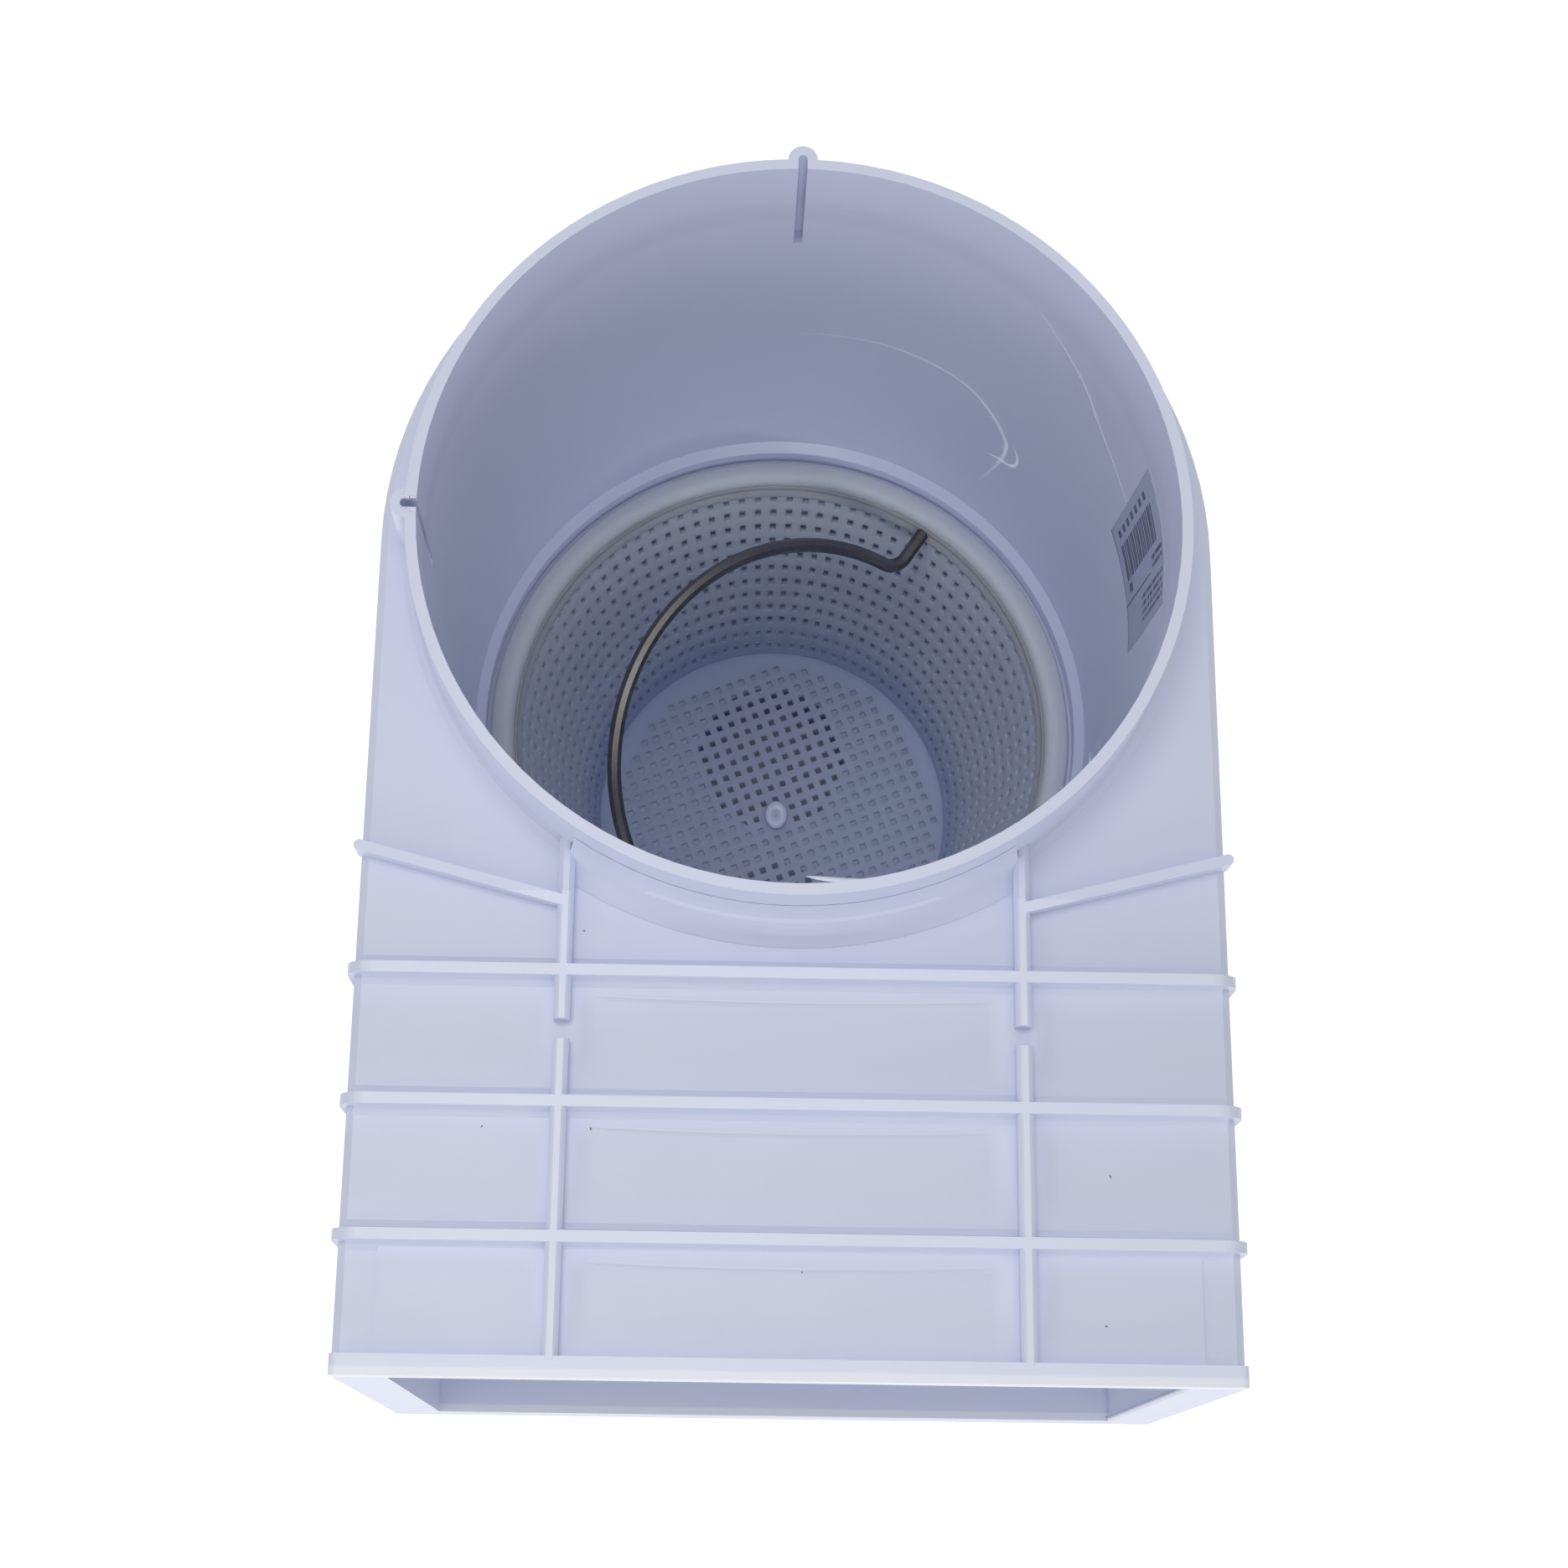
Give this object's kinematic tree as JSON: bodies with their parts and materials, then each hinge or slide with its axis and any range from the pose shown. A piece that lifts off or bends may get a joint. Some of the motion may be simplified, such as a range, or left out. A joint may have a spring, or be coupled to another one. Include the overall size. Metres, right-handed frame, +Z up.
{
  "type": "pool skimmer",
  "caption": "In-ground pool skimmer body with round neck, ribbed throat and framed mouth, with a lift-out strainer basket, wire bail, floating weir flap and a plugged spare port.",
  "frame": {"origin": "centre of the neck's rim, on the neck's axis", "axes": "+Z up along the neck's axis, out of the neck; the mouth faces -Y; +X to the right seen from the mouth"},
  "size_m": [0.232, 0.3374, 0.363],
  "materials": {
    "moulded_shell": "moulded ABS, pale lavender white, satin gloss",
    "basket_plastic": "translucent natural polypropylene",
    "bail_wire": "drawn stainless wire",
    "weir_plastic": "moulded ABS",
    "float_foam": "closed-cell foam",
    "plug_plastic": "moulded ABS",
    "seal_rubber": "moulded rubber"
  },
  "bodies": {
    "body": {"skimmer_body": "moulded_shell", "basket": "basket_plastic", "port_plug": "plug_plastic", "plug_seal": "seal_rubber"},
    "handle": {"basket_handle": "bail_wire"},
    "weir": {"weir_flap": "weir_plastic", "weir_float": "float_foam"}
  },
  "joints": [
    {"name": "handle_hinge", "type": "hinge", "parent": "body", "child": "handle", "pos_m": [0, 0, -0.203], "axis": [0.5534, 0.8329, 0], "continuous": true},
    {"name": "weir_hinge", "type": "hinge", "parent": "body", "child": "weir", "pos_m": [0, -0.203, -0.1657], "axis": [1, 0, 0], "range_deg": [0, 85]}
  ]
}
